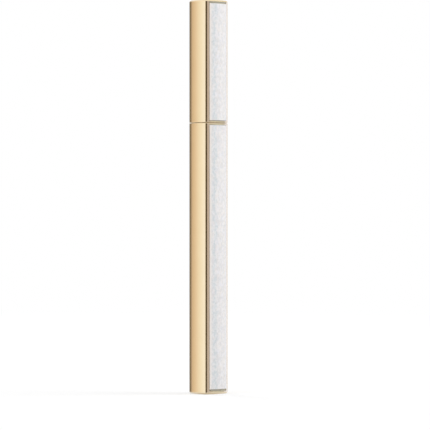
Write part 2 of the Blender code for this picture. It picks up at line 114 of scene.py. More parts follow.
def turnedPiece(name, profile, steps=96, closed=False):  # spins (radius, level) points round the axis
    points = [(radius, 0, level) for radius, level in profile]
    if closed:
        points.append(points[0])
    piece = startAt(name, points[0])
    for here, there in zip(points, points[1:]):
        drawTo(here, there)
    bpy.ops.mesh.select_all(action="SELECT")
    bpy.ops.mesh.spin(steps=steps, angle=math.tau, center=(0, 0, 0), axis=(0, 0, 1))
    tidyMesh()
    bpy.ops.object.mode_set(mode="OBJECT")
    return piece


def arcPoints(centreRadius, centreLevel, size, fromTurn, toTurn, steps=6):
    turns = [fromTurn + (toTurn - fromTurn) * i / steps for i in range(steps + 1)]
    return [(centreRadius + size * math.cos(t), centreLevel + size * math.sin(t)) for t in turns]


def roundTop(radius, level, size, steps=6):
    return arcPoints(radius - size, level - size, size, math.pi / 2, 0, steps)


def roundFoot(radius, level, size, steps=6):
    return arcPoints(radius - size, level + size, size, 0, -math.pi / 2, steps)


def dress(piece, body, material, slot, *nodes):  # finish, body and the CAD nodes it stands for
    piece.data.materials.clear()
    piece.data.materials.append(material)
    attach(piece, body)
    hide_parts(*nodes)


# Shared node groups

def newGroup(name, inputs, outputs):
    group = bpy.data.node_groups.new(name, "ShaderNodeTree")
    for label, kind, value in inputs:
        socket = group.interface.new_socket(label, in_out="INPUT", socket_type="NodeSocket" + kind)
        if value is not None:
            socket.default_value = value
    for label, kind in outputs:
        group.interface.new_socket(label, in_out="OUTPUT", socket_type="NodeSocket" + kind)
    return group, group.nodes.new("NodeGroupInput"), group.nodes.new("NodeGroupOutput")


def addNode(tree, kind, **settings):  # a node with its properties, and values for its sockets
    node = tree.nodes.new("ShaderNode" + kind)
    for key, value in settings.items():
        if hasattr(node, key):
            setattr(node, key, value)
        else:
            node.inputs[key.replace("_", " ")].default_value = value
    return node


groupLook = {
    "mottleRoughness": 0.55,
    "mottleSpread": (0.25, 0.75),    # the part of the noise that is stretched to full range
    "streakRoughness": 0.6,
    "streakDetail": 4.0,
}


def mottleGroup():  # soft blotches: a value that changes slowly over the surface
    group, given, result = newGroup(
        "mottle", [("Vector", "Vector", None), ("Scale", "Float", 800.0), ("Detail", "Float", 3.0),
                   ("Contrast", "Float", 1.0)], [("Value", "Float")])
    noise = addNode(group, "TexNoise", Roughness=groupLook["mottleRoughness"])
    low, high = groupLook["mottleSpread"]
    spread = addNode(group, "MapRange", From_Min=low, From_Max=high, clamp=True)
    level = addNode(group, "Math", operation="SUBTRACT")
    gain = addNode(group, "Math", operation="MULTIPLY_ADD")
    level.inputs[1].default_value = gain.inputs[2].default_value = 0.5    # the middle keeps its value
    join = group.links.new
    for label in ("Vector", "Scale", "Detail"):
        join(given.outputs[label], noise.inputs[label])
    join(noise.outputs["Fac"], spread.inputs["Value"])
    join(spread.outputs["Result"], level.inputs[0])
    join(level.outputs[0], gain.inputs[0])
    join(given.outputs["Contrast"], gain.inputs[1])
    join(gain.outputs[0], result.inputs["Value"])
    return group


def streakGroup():  # fine lines that run one way, from a noise that is stretched
    group, given, result = newGroup(
        "streaks", [("Vector", "Vector", None), ("Stretch", "Vector", (9000.0, 9000.0, 120.0))],
        [("Value", "Float")])
    stretched = addNode(group, "VectorMath", operation="MULTIPLY")
    noise = addNode(group, "TexNoise", Scale=1.0, Detail=groupLook["streakDetail"],
                    Roughness=groupLook["streakRoughness"])
    group.links.new(given.outputs["Vector"], stretched.inputs[0])
    group.links.new(given.outputs["Stretch"], stretched.inputs[1])
    group.links.new(stretched.outputs[0], noise.inputs["Vector"])
    group.links.new(noise.outputs["Fac"], result.inputs["Value"])
    return group


mottle = mottleGroup()
streaks = streakGroup()


def newMaterial(name, **shaderValues):  # a material with its shader, Object coordinates and a bump node
    material = bpy.data.materials.new(name)
    material.use_nodes = True
    tree = material.node_tree
    shader = tree.nodes["Principled BSDF"]
    for key, value in shaderValues.items():
        shader.inputs[key.replace("_", " ")].default_value = value
    place = addNode(tree, "TexCoord").outputs["Object"]
    bump = addNode(tree, "Bump", Strength=1.0)
    tree.links.new(bump.outputs["Normal"], shader.inputs["Normal"])
    return material, tree, shader, place, bump


def useGroup(tree, group, place, **values):
    node = tree.nodes.new("ShaderNodeGroup")
    node.node_tree = group
    tree.links.new(place, node.inputs["Vector"])
    for key, value in values.items():
        node.inputs[key].default_value = value
    return node.outputs["Value"]


def ranged(tree, value, low, high):  # the value, spread from low to high
    node = addNode(tree, "MapRange", To_Min=low, To_Max=high)
    tree.links.new(value, node.inputs["Value"])
    return node.outputs["Result"]


def smoothRange(tree, value, reach, most=1.0):  # runs softly from 0 to the most over the reach
    node = addNode(tree, "MapRange", From_Min=reach[0], From_Max=reach[1], To_Max=most,
                   interpolation_type="SMOOTHSTEP")
    tree.links.new(value, node.inputs["Value"])
    return node.outputs["Result"]


def mixed(tree, share, first, second):  # two colours mixed by a share; either may be a socket
    node = addNode(tree, "Mix", data_type="RGBA")
    tree.links.new(share, node.inputs["Factor"])
    for label, colour in (("A", first), ("B", second)):
        socket = [s for s in node.inputs if s.name == label and s.type == "RGBA"][0]
        if isinstance(colour, tuple):
            socket.default_value = (*colour, 1.0)
        else:
            tree.links.new(colour, socket)
    return [s for s in node.outputs if s.type == "RGBA"][0]


# Materials

goldLook = {
    "shell": {"pale": (0.84, 0.665, 0.42), "deep": (0.825, 0.65, 0.405), "roughness": (0.16, 0.22)},
    "collar": {"pale": (0.76, 0.595, 0.375), "deep": (0.745, 0.58, 0.36), "roughness": (0.22, 0.28)},
    "shader": {"Metallic": 1.0, "Coat_Weight": 0.08, "Coat_Roughness": 0.08},
    "blotch": {"Scale": 260.0, "Detail": 2.0},
    "grainHeight": 0.0006 * mm,
}


def goldMaterial(name, look):
    material, tree, shader, place, bump = newMaterial(name, **goldLook["shader"])
    blotch = useGroup(tree, mottle, place, **goldLook["blotch"])
    grain = useGroup(tree, streaks, place)
    colour = mixed(tree, blotch, look["deep"], look["pale"])
    tree.links.new(colour, shader.inputs["Base Color"])
    tree.links.new(ranged(tree, grain, *look["roughness"]), shader.inputs["Roughness"])
    tree.links.new(grain, bump.inputs["Height"])
    bump.inputs["Distance"].default_value = goldLook["grainHeight"]
    return material


pearlLook = {
    "ground": (0.85, 0.84, 0.83),
    # painted reflection: the tint of a darker, cool band down the panel
    "paintedBandTint": (0.66, 0.735, 0.76),
    "rose": (0.80, 0.75, 0.71),
    "lilac": (0.78, 0.78, 0.85),
    "flake": (0.90, 0.88, 0.90),
    "dim": (0.55, 0.57, 0.59),
    "tintShare": 0.6,    # the most that lilac or rose covers
    "dimShare": 0.4,
    "flakeShare": 0.3,
    "grain": (1.0, 1.0, 0.75),    # the blotches are taller than they are wide
    "blushShift": (0.031, 0.017, 0.011),
    "cloud": {"Scale": 420.0, "Detail": 3.0, "Contrast": 1.6},
    "blush": {"Scale": 900.0, "Detail": 4.0, "Contrast": 2.0},
    "crinkle": {"Scale": 1500.0, "Detail": 5.0, "Contrast": 2.6},
    "flakeScale": 4200.0,
    # painted reflection: the gold side's warm light, painted onto the panel's left edge
    "paintedGoldReflection": (0.96, 0.89, 0.82),
    "paintedReflectionShare": 0.8,
    "paintedReflectionReach": (-2.5 * mm, -3.6 * mm),    # where the painted reflection of the gold side sets in on the left edge, and where it is full
    "paintedBandPlace": -1.7 * mm,    # painted reflection: a cool, darker band runs the panel's length, left of its middle
    "paintedBandReach": 1.15 * mm,
    "paintedBandWaver": {"Scale": 380.0, "Detail": 4.0, "Contrast": 1.8},
    "paintedBandShare": (0.95, 0.35),    # falls as the crinkles rise
    "shader": {"Coat_Weight": 0.35, "Coat_Roughness": 0.12},
    "roughness": (0.28, 0.42),
    "crinkleHeight": 0.006 * mm,
}


def pearlPaintedBand(tree, place):  # painted reflection: a soft band round one X, with wavering edges
    join, reach = tree.links.new, pearlLook["paintedBandReach"]
    split = addNode(tree, "SeparateXYZ")
    join(place, split.inputs[0])
    shift = addNode(tree, "Math", operation="MULTIPLY_ADD")
    join(useGroup(tree, mottle, place, **pearlLook["paintedBandWaver"]), shift.inputs[0])
    shift.inputs[1].default_value = reach
    shift.inputs[2].default_value = -reach / 2 - pearlLook["paintedBandPlace"]
    offset = addNode(tree, "Math", operation="ADD")
    join(split.outputs["X"], offset.inputs[0])
    join(shift.outputs[0], offset.inputs[1])
    away = addNode(tree, "Math", operation="ABSOLUTE")
    join(offset.outputs[0], away.inputs[0])
    return smoothRange(tree, away.outputs[0], (reach, 0.0))


def pearlPaintedEdge(tree, place):  # painted reflection of the gold side on the panel's long edge
    split = addNode(tree, "SeparateXYZ")
    tree.links.new(place, split.inputs[0])
    return smoothRange(tree, split.outputs["X"], pearlLook["paintedReflectionReach"])


def pearlMaterial():
    look = pearlLook
    material, tree, shader, place, bump = newMaterial("pearlWhite", **look["shader"])
    join = tree.links.new
    tall, shifted = addNode(tree, "VectorMath", operation="MULTIPLY"), addNode(tree, "VectorMath")
    tall.inputs[1].default_value = look["grain"]
    shifted.inputs[1].default_value = look["blushShift"]
    join(place, tall.inputs[0])
    join(tall.outputs[0], shifted.inputs[0])
    cloud = useGroup(tree, mottle, tall.outputs[0], **look["cloud"])
    blush = useGroup(tree, mottle, shifted.outputs[0], **look["blush"])
    crinkle = useGroup(tree, mottle, tall.outputs[0], **look["crinkle"])
    flakes = addNode(tree, "TexVoronoi", Scale=look["flakeScale"])
    join(place, flakes.inputs["Vector"])
    glint = addNode(tree, "SeparateColor")
    join(flakes.outputs["Color"], glint.inputs["Color"])
    ground = mixed(tree, ranged(tree, cloud, 0.0, look["tintShare"]), look["ground"], look["lilac"])
    tinted = mixed(tree, ranged(tree, blush, 0.0, look["tintShare"]), ground, look["rose"])
    patchy = addNode(tree, "Math", operation="MULTIPLY")
    join(pearlPaintedBand(tree, place), patchy.inputs[0])
    join(ranged(tree, crinkle, *look["paintedBandShare"]), patchy.inputs[1])
    # painted reflection: a darker, cool band down the panel
    bandPainted = mixed(tree, patchy.outputs[0], tinted, look["paintedBandTint"])
    worked = mixed(tree, ranged(tree, crinkle, look["dimShare"], 0.0), bandPainted, look["dim"])
    glitter = ranged(tree, glint.outputs["Red"], 0.0, look["flakeShare"])
    flaked = mixed(tree, glitter, worked, look["flake"])
    # painted reflection of the gold side, warming the left edge
    edge = ranged(tree, pearlPaintedEdge(tree, place), 0.0, look["paintedReflectionShare"])
    join(mixed(tree, edge, flaked, look["paintedGoldReflection"]), shader.inputs["Base Color"])
    join(ranged(tree, glint.outputs["Green"], *look["roughness"]), shader.inputs["Roughness"])
    join(crinkle, bump.inputs["Height"])
    bump.inputs["Distance"].default_value = look["crinkleHeight"]
    return material


blackLook = {
    "colour": (0.002, 0.002, 0.0023),
    "worn": (0.005, 0.005, 0.0053),
    "shader": {"Coat_Weight": 0.1, "Coat_Roughness": 0.1, "IOR": 1.36},
    "roughness": (0.09, 0.17),
    "cloud": {"Scale": 900.0, "Detail": 5.0},
    "cloudHeight": 0.003 * mm,
}
mouldedCloud = {"Scale": 1200.0, "Detail": 5.0}
mouldedHeight = 0.004 * mm
mouldedLook = {    # plain finishes, by the names of their materials
    "whitePlastic": {
        "colour": (0.82, 0.82, 0.80), "worn": (0.76, 0.76, 0.74), "roughness": (0.35, 0.5)},
    "naturalPlastic": {
        "colour": (0.72, 0.74, 0.72), "worn": (0.66, 0.69, 0.68), "roughness": (0.3, 0.45),
        "shader": {"Subsurface_Weight": 0.1}},
    "blackRubber": {
        "colour": (0.03, 0.03, 0.03), "worn": (0.02, 0.02, 0.02), "roughness": (0.6, 0.8)},
    # painted shade: a dark, dull finish for the recess floors round the panels
    "grooveShade": {
        "colour": (0.42, 0.39, 0.30), "worn": (0.36, 0.33, 0.25), "roughness": (0.6, 0.75)},
    "bandBlack": {
        "colour": (0.001, 0.001, 0.0012), "worn": (0.0006, 0.0006, 0.0007),
        "roughness": (0.15, 0.25), "shader": {"IOR": 1.16}},
    "polishedSteel": {
        "colour": (0.64, 0.64, 0.66), "worn": (0.58, 0.58, 0.60), "roughness": (0.12, 0.2),
        "shader": {"Metallic": 1.0}},
}


def mouldedMaterial(name, look):  # smooth plastic, rubber or steel with faint clouds
    material, tree, shader, place, bump = newMaterial(name, **look.get("shader", {}))
    cloud = useGroup(tree, mottle, place, **look.get("cloud", mouldedCloud))
    tree.links.new(mixed(tree, cloud, look["colour"], look["worn"]), shader.inputs["Base Color"])
    tree.links.new(ranged(tree, cloud, *look["roughness"]), shader.inputs["Roughness"])
    tree.links.new(cloud, bump.inputs["Height"])
    bump.inputs["Distance"].default_value = look.get("cloudHeight", mouldedHeight)
    return material


fibreLook = {
    "wet": (0.003, 0.003, 0.0033),
    "dry": (0.011, 0.011, 0.0115),
    "shader": {"IOR": 1.35},
    "roughness": (0.5, 0.8),
    "hairStretch": (16000.0, 16000.0, 500.0),
    "hairHeight": 0.02 * mm,
}


def fibreMaterial():
    material, tree, shader, place, bump = newMaterial("inkedFibre", **fibreLook["shader"])
    hairs = useGroup(tree, streaks, place, Stretch=fibreLook["hairStretch"])
    tree.links.new(mixed(tree, hairs, fibreLook["wet"], fibreLook["dry"]), shader.inputs["Base Color"])
    tree.links.new(ranged(tree, hairs, *fibreLook["roughness"]), shader.inputs["Roughness"])
    tree.links.new(hairs, bump.inputs["Height"])
    bump.inputs["Distance"].default_value = fibreLook["hairHeight"]
    return material


gold = goldMaterial("metallisedGold", goldLook["shell"])
satinGold = goldMaterial("satinGold", goldLook["collar"])
pearl = pearlMaterial()
glossBlack = mouldedMaterial("glossBlack", blackLook)
inkedFibre = fibreMaterial()
moulded = {name: mouldedMaterial(name, look) for name, look in mouldedLook.items()}
print("materials made")


# Section of the gold body

sectionLook = {
    "sideBulge": 0.75 * mm,   # rise of a plain side between its corners
    "faceBulge": 0.75 * mm,   # rise of a panel side between its corners
    "cornerRound": 0.75 * mm,
    "endRound": 0.7 * mm,
    "mouthRound": 0.2 * mm,
    "faceSteps": 28,
    "cornerSteps": 8,
    "endSteps": 8,
}

barrelLow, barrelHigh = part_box("barrel_shell")
capLow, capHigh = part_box("cap_shell")
panelLow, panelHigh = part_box("barrel_panel_front")
capPanelLow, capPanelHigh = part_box("cap_panel_front")
crownX, crownY = barrelHigh.x, barrelHigh.y
cornerX = crownX - sectionLook["sideBulge"]
cornerY = crownY - sectionLook["faceBulge"]
faceRadius = (cornerX ** 2 + sectionLook["faceBulge"] ** 2) / (2 * sectionLook["faceBulge"])
sideRadius = (cornerY ** 2 + sectionLook["sideBulge"] ** 2) / (2 * sectionLook["sideBulge"])
faceCentre = crownY - faceRadius     # of the back face's arc, on Y
sideCentre = crownX - sideRadius     # of the right side's arc, on X


def cornerCentre():  # of the round that touches the right side's arc and the back face's
    toFace = faceRadius - sectionLook["cornerRound"]
    toSide = sideRadius - sectionLook["cornerRound"]
    span = math.hypot(sideCentre, faceCentre)
    along = (toFace ** 2 - toSide ** 2 + span ** 2) / (2 * span)
    across = math.sqrt(toFace ** 2 - along ** 2)
    unitX, unitY = sideCentre / span, -faceCentre / span
    return along * unitX + across * unitY, faceCentre + along * unitY - across * unitX


def goldBar(name, low, high, lowRound, highRound):  # the pillow section, drawn in arcs and raised
    roundX, roundY = cornerCentre()
    sideEnd = math.atan2(roundY, roundX - sideCentre)
    faceStart = math.atan2(roundY - faceCentre, roundX)
    faceSweep = math.pi - 2 * faceStart
    faceSteps, cornerSteps = sectionLook["faceSteps"], sectionLook["cornerSteps"]
    startX = sideCentre + sideRadius * math.cos(sideEnd)
    startY = -sideRadius * math.sin(sideEnd)
    piece = startAt(name, (startX, startY, low))
    for facing in (1, -1):  # a side, a corner, a face and a corner, twice
        turnAbout((sideCentre * facing, 0, low), 2 * sideEnd, faceSteps)
        turnAbout((roundX * facing, roundY * facing, low), faceStart - sideEnd, cornerSteps)
        turnAbout((0, faceCentre * facing, low), faceSweep, faceSteps)
        turnAbout((-roundX * facing, roundY * facing, low), faceStart - sideEnd, cornerSteps)
    bpy.ops.mesh.select_all(action="SELECT")
    bpy.ops.mesh.remove_doubles(threshold=weldGap)
    bpy.ops.mesh.edge_face_add()
    turns = [math.pi / 2 * i / sectionLook["endSteps"] for i in range(sectionLook["endSteps"] + 1)]
    levels = [(low + lowRound * (1 - math.cos(t)), lowRound * (1 - math.sin(t))) for t in turns]
    for t in reversed(turns):
        levels.append((high - highRound * (1 - math.cos(t)), highRound * (1 - math.sin(t))))
    hereLevel, hereInset = levels[0]
    firstShrink = ((crownX - hereInset) / crownX, (crownY - hereInset) / crownY, 1)
    bpy.ops.transform.resize(value=firstShrink, center_override=(0, 0, low))
    for level, inset in levels[1:]:
        bpy.ops.mesh.extrude_region_move(TRANSFORM_OT_translate={"value": (0, 0, level - hereLevel)})
        growX = (crownX - inset) / (crownX - hereInset)
        growY = (crownY - inset) / (crownY - hereInset)
        bpy.ops.transform.resize(value=(growX, growY, 1), center_override=(0, 0, level))
        hereLevel, hereInset = level, inset
    tidyMesh()
    bpy.ops.object.mode_set(mode="OBJECT")
    return piece


def facePlate(name, outerRadius, innerRadius, halfWidth, low, high, steps=32):
    # a plate between two arcs about the front face's centre; without an inner arc it runs straight out
    centre = (0, -faceCentre, low)
    spread = math.asin(halfWidth / outerRadius)
    start = (-outerRadius * math.sin(spread), -faceCentre - outerRadius * math.cos(spread), low)
    piece = startAt(name, start)
    turnAbout(centre, 2 * spread, steps)
    end = (-start[0], start[1], low)
    if innerRadius:
        innerSpread = math.asin(halfWidth / innerRadius)
        innerY = -faceCentre - innerRadius * math.cos(innerSpread)
        drawTo(end, (innerRadius * math.sin(innerSpread), innerY, low))
        turnAbout(centre, -2 * innerSpread, steps)
    else:
        far = (end[0], -crownY - mm, low)
        drawTo(end, far)
        drawTo(far, (start[0], far[1], low))
    bpy.ops.mesh.select_all(action="SELECT")
    bpy.ops.mesh.edge_face_add()
    bpy.ops.mesh.extrude_region_move(TRANSFORM_OT_translate={"value": (0, 0, high - low)})
    tidyMesh()
    bpy.ops.object.mode_set(mode="OBJECT")
    return piece


def halfTurn(piece):  # a copy on the far side, placed in its mesh
    bpy.ops.object.select_all(action="DESELECT")
    piece.select_set(True)
    bpy.context.view_layer.objects.active = piece
    bpy.ops.object.duplicate()
    copy = bpy.context.object
    copy.rotation_euler.z = math.pi
    bpy.ops.object.transform_apply(location=False, rotation=True, scale=False)
    return copy


# Shells and panels

shellLook = {
    "boreSteps": 128,
    "barrelBore": 4.05 * mm,
    "capBore": 4.43 * mm,
    "capSeat": 3.6 * mm,
    "capRoof": 1.4 * mm,
    "capMouthChamfer": 0.12 * mm,
    "edgeSoftness": 0.08 * mm,
}
panelLook = {
    "grooveSide": 0.05 * mm,
    "footStrip": 1.02 * mm,   # gold left under the barrel's recess
    "headStrip": 0.62 * mm,   # gold left over the cap's recess
    "seamStrip": 0.55 * mm,   # gold left beside the seam
    "seamReach": 0.06 * mm,   # how far the panels run on towards the seam
    "footLift": 0.08 * mm,
    "proud": 0.1 * mm,
    "thickness": 0.25 * mm,
    "glueLine": 0.03 * mm,
    "edgeRound": 0.06 * mm,
    "floorSlack": 0.02 * mm,  # how far off its arc a face still counts as recess floor
    "floorTilt": 0.5,         # and how much its normal may rise or fall
}
recessFloor = faceRadius + panelLook["proud"] - panelLook["thickness"] - panelLook["glueLine"]


def letInPanels(shell, foot, head):  # cuts the recess between these levels, front and back
    halfWidth = panelHigh.x + panelLook["grooveSide"]
    front = facePlate("frontRecess", recessFloor, None, halfWidth, foot, head)
    back = halfTurn(front)
    cutWith(shell, front)
    cutWith(shell, back)


def shadePaintedRecess(shell):  # painted shade: the recess floors take a dark, dull finish, for the shade in the grooves round the panels
    shell.data.materials.append(moulded["grooveShade"])
    for face in shell.data.polygons:
        centre = face.center
        reach = math.hypot(centre.x, abs(centre.y) - faceCentre)
        onFloor = abs(reach - recessFloor) < panelLook["floorSlack"] and abs(centre.y) > cornerY / 2
        if onFloor and abs(face.normal.z) < panelLook["floorTilt"]:
            face.material_index = 1


def pearlPanels(name, low, high):
    outer = faceRadius + panelLook["proud"]
    inner = outer - panelLook["thickness"]
    front = facePlate(name + "Front", outer, inner, panelHigh.x, low, high)
    softenEdges(front, panelLook["edgeRound"], segments=3)
    back = halfTurn(front)
    back.name = back.data.name = name + "Back"
    return front, back


def boreCutter(name, profile):
    return turnedPiece(name, profile, shellLook["boreSteps"])


def barrelBody():
    shell = goldBar("barrelBody", barrelLow.z, barrelHigh.z,
                    sectionLook["endRound"], sectionLook["mouthRound"])
    radius = shellLook["barrelBore"]
    top, bottom = barrelHigh.z + mm, barrelLow.z - mm
    cutWith(shell, boreCutter("barrelBore", [(0, top), (radius, top), (radius, bottom), (0, bottom)]))
    letInPanels(shell, barrelLow.z + panelLook["footStrip"], barrelHigh.z - panelLook["seamStrip"])
    softenEdges(shell, shellLook["edgeSoftness"])
    return shell


def capBody():
    shell = goldBar("capBody", capLow.z, capHigh.z, sectionLook["mouthRound"], sectionLook["endRound"])
    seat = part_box("inner_cap")[1].z + restGap
    roof = capHigh.z - shellLook["capRoof"]
    chamfer = shellLook["capMouthChamfer"]
    cutWith(shell, boreCutter("capBore", [
        (0, roof), (shellLook["capSeat"], roof), (shellLook["capSeat"], seat),
        (shellLook["capBore"], seat), (shellLook["capBore"], capLow.z + chamfer),
        (shellLook["capBore"] + chamfer, capLow.z), (shellLook["capBore"] + chamfer, capLow.z - mm),
        (0, capLow.z - mm)]))
    letInPanels(shell, capLow.z + panelLook["seamStrip"], capHigh.z - panelLook["headStrip"])
    softenEdges(shell, shellLook["edgeSoftness"])
    return shell


barrel, cap = barrelBody(), capBody()
dress(barrel, "barrel", gold, "gold", "barrel_shell")
dress(cap, "cap", gold, "gold", "cap_shell")
shadePaintedRecess(barrel)
shadePaintedRecess(cap)
for piece, node in zip(pearlPanels("barrelPearl", panelLow.z + panelLook["footLift"],
                                   panelHigh.z + panelLook["seamReach"]),
                       ("barrel_panel_front", "barrel_panel_back")):
    dress(piece, "barrel", pearl, "pearl", node)
for piece, node in zip(pearlPanels("capPearl", capPanelLow.z - panelLook["seamReach"], capPanelHigh.z),
                       ("cap_panel_front", "cap_panel_back")):
    dress(piece, "cap", pearl, "pearl", node)
print("shells and panels made")


# Turned pieces

collarLook = {
    "steps": 128,
    "topRound": 0.18 * mm,
    "bore": 3.45 * mm,
    "skirt": 4.0 * mm,
    "shoulder": 0.05 * mm,
    "footGap": (0.2 * mm, 0.18 * mm),    # height and depth of the shadow gap over the barrel
}


def collarRing():
    look = collarLook
    low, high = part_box("neck_collar")
    shoulder = barrelHigh.z + look["shoulder"]
    gapHeight, gapDepth = look["footGap"]
    profile = roundTop(high.x, high.z, look["topRound"])
    profile += [(high.x, shoulder + gapHeight), (high.x - gapDepth, shoulder + gapHeight)]
    profile += [(high.x - gapDepth, shoulder), (look["skirt"], shoulder), (look["skirt"], low.z)]
    profile += [(look["bore"], low.z), (look["bore"], high.z)]
    piece = turnedPiece("collarRing", profile, look["steps"], closed=True)
    shadeSmooth(piece)
    return piece


nozzleLook = {
    "steps": 128,
    "shank": 3.4 * mm,
    "shankWall": 0.75 * mm,
    "flangeHeight": 0.95 * mm,
    "flangeRound": 0.2 * mm,
    "bodyRadius": 2.85 * mm,
    "bodyHeight": 2.18 * mm,
    "beads": 2,
    "beadHeight": 1.13 * mm,
    "beadSetIn": 0.03 * mm,
    "beadSteps": 12,
    "grooveDepth": 0.28 * mm,
    "grooveWidth": 0.2 * mm,
    "band": (0.09 * mm, 0.9 * mm),    # foot and top of the dull band over the top bead
    "bandSetIn": 0.04 * mm,
    "bandShare": 0.998,    # the middles of its faces lie further out than this share of its radius
    "flareHeight": 7.0 * mm,
    "flareBend": 0.75,
    "flareSteps": 24,
    "endRadius": 1.8 * mm,
    "endRound": 0.3 * mm,
    "endWall": 0.55 * mm,
    "chamberRoof": 1.4 * mm,
}


def nozzleFront():
    look = nozzleLook
    low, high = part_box("nozzle")
    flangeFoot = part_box("neck_collar")[1].z + restGap
    flangeTop = flangeFoot + look["flangeHeight"]
    root = look["bodyRadius"] - look["grooveDepth"]
    rise = look["grooveDepth"] - look["beadSetIn"]
    bodyFoot = flangeTop + look["beads"] * look["beadHeight"]
    flareFoot = bodyFoot + look["bodyHeight"]
    profile = roundTop(look["endRadius"], high.z, look["endRound"])
    for i in reversed(range(look["flareSteps"] + 1)):  # the flare narrows along half a cosine wave
        share = i / look["flareSteps"]
        narrowing = (1 + math.cos(math.pi * share ** look["flareBend"])) / 2
        radius = look["endRadius"] + (look["bodyRadius"] - look["endRadius"]) * narrowing
        profile.append((radius, flareFoot + look["flareHeight"] * share))
    bandFoot, bandTop = [bodyFoot - look["grooveWidth"] + level for level in look["band"]]
    bandRadius = look["bodyRadius"] - look["bandSetIn"]
    profile += roundFoot(look["bodyRadius"], bandTop, look["bandSetIn"])
    profile += [(bandRadius, bandTop), (bandRadius, bandFoot), (root, bandFoot)]
    half = (look["beadHeight"] - look["grooveWidth"]) / 2
    bend = (half ** 2 + rise ** 2) / (2 * rise)
    spread = math.asin(half / bend)
    for i in reversed(range(look["beads"])):
        middle = flangeTop + i * look["beadHeight"] + half
        profile += arcPoints(root + rise - bend, middle, bend, spread, -spread, look["beadSteps"])
    profile += roundTop(high.x, flangeTop, look["flangeRound"])
    inner, tipBore = look["shank"] - look["shankWall"], look["endRadius"] - look["endWall"]
    profile += [(high.x, flangeFoot), (look["shank"], flangeFoot), (look["shank"], low.z), (inner, low.z)]
    profile += [(inner, flangeFoot), (tipBore, flangeFoot + look["chamberRoof"]), (tipBore, high.z)]
    piece = turnedPiece("nozzleFront", profile, look["steps"], closed=True)
    shadeSmooth(piece)
    return piece, (bandRadius - weldGap, bandFoot, bandTop)


def dullBand(piece, place):  # the faces of the band get a finish that hardly shines
    radius, foot, top = place
    piece.data.materials.append(moulded["bandBlack"])
    for face in piece.data.polygons:
        if foot < face.center.z < top and face.center.xy.length > radius * nozzleLook["bandShare"]:
            face.material_index = 1


ferruleLook = {
    "taper": 0.05 * mm,
    "bevelHeight": 0.75 * mm,
    "bevelStep": 0.17 * mm,
    "topRound": 0.1 * mm,
    "shank": 1.2 * mm,
    "bore": 0.8 * mm,
    "edgeSoftness": 0.03 * mm,
}


def tipFerrule():
    look = ferruleLook
    low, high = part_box("tip_holder")
    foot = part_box("nozzle")[1].z + restGap
    bevelRadius = high.x - look["taper"]
    profile = roundTop(bevelRadius - look["bevelStep"], high.z, look["topRound"])
    profile += [(bevelRadius, high.z - look["bevelHeight"]), (high.x, foot), (look["shank"], foot)]
    profile += [(look["shank"], low.z), (look["bore"], low.z), (look["bore"], high.z)]
    piece = turnedPiece("tipFerrule", profile, closed=True)
    softenEdges(piece, look["edgeSoftness"], sharpest=30)
    return piece


brushLook = {
    "hairs": 40,
    "fluteSteps": 4,             # round each hair
    "fluteDepth": 0.03,
    "fluteReach": 0.125,         # share of a hair's width that sinks, on each side of a gap
    "pointLength": 4.0 * mm,
    "pointSteps": 24,
    "waist": 0.03,               # share that the ferrule pinches off the fibres
    "waistReach": 1.6 * mm,
    "sharpest": 60,              # degrees; flatter edges shade smooth
}


def brushFibres():  # a fluted body of hairs, drawn in to a parabolic point
    look = brushLook
    low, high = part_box("brush_tip")
    profile = []
    for i in reversed(range(look["pointSteps"] + 1)):
        share = i / look["pointSteps"]
        profile.append((high.x * (1 - share ** 2), high.z - look["pointLength"] * (1 - share)))
    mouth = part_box("tip_holder")[1].z
    pinched = high.x * (1 - look["waist"])
    profile += [((high.x + pinched) / 2, mouth + look["waistReach"] / 2), (pinched, mouth)]
    profile += [(pinched, low.z), (0, low.z)]
    piece = turnedPiece("brushFibres", profile, look["hairs"] * look["fluteSteps"])
    step = math.tau / look["hairs"]
    for vertex in piece.data.vertices:
        offset = math.atan2(vertex.co.y, vertex.co.x) % step / step
        inGap = offset < look["fluteReach"] or offset > 1 - look["fluteReach"]
        vertex.select = vertex.co.xy.length > weldGap and inGap
    bpy.ops.object.mode_set(mode="EDIT")
    shrink = 1 - look["fluteDepth"]
    bpy.ops.transform.resize(value=(shrink, shrink, 1), center_override=(0, 0, 0))
    bpy.ops.object.mode_set(mode="OBJECT")
    shadeSmooth(piece, look["sharpest"])
    return piece


innerCapLook = {
    "bore": 3.0 * mm,
    "wall": 0.6 * mm,
    "roof": 1.0 * mm,
    "rimHeight": 1.2 * mm,
    "chamfer": 0.15 * mm,
    "shoulder": 0.6 * mm,
    "ribs": 6,
    "ribWidth": 0.8 * mm,
    "ribSetback": 1.2 * mm,
    "edgeSoftness": 0.05 * mm,
}


def grippingRib(rim, foot, head):  # one bar that reaches from inside the cup's wall to the rim's radius
    look = innerCapLook
    root = look["bore"] + look["wall"] / 2
    reach = math.sqrt(rim ** 2 - (look["ribWidth"] / 2) ** 2)
    bpy.ops.mesh.primitive_cube_add(size=1, location=((root + reach) / 2, 0, (foot + head) / 2))
    rib = bpy.context.object
    rib.scale = (reach - root, look["ribWidth"], head - foot)
    bpy.ops.object.transform_apply(location=True, rotation=False, scale=True)
    return rib


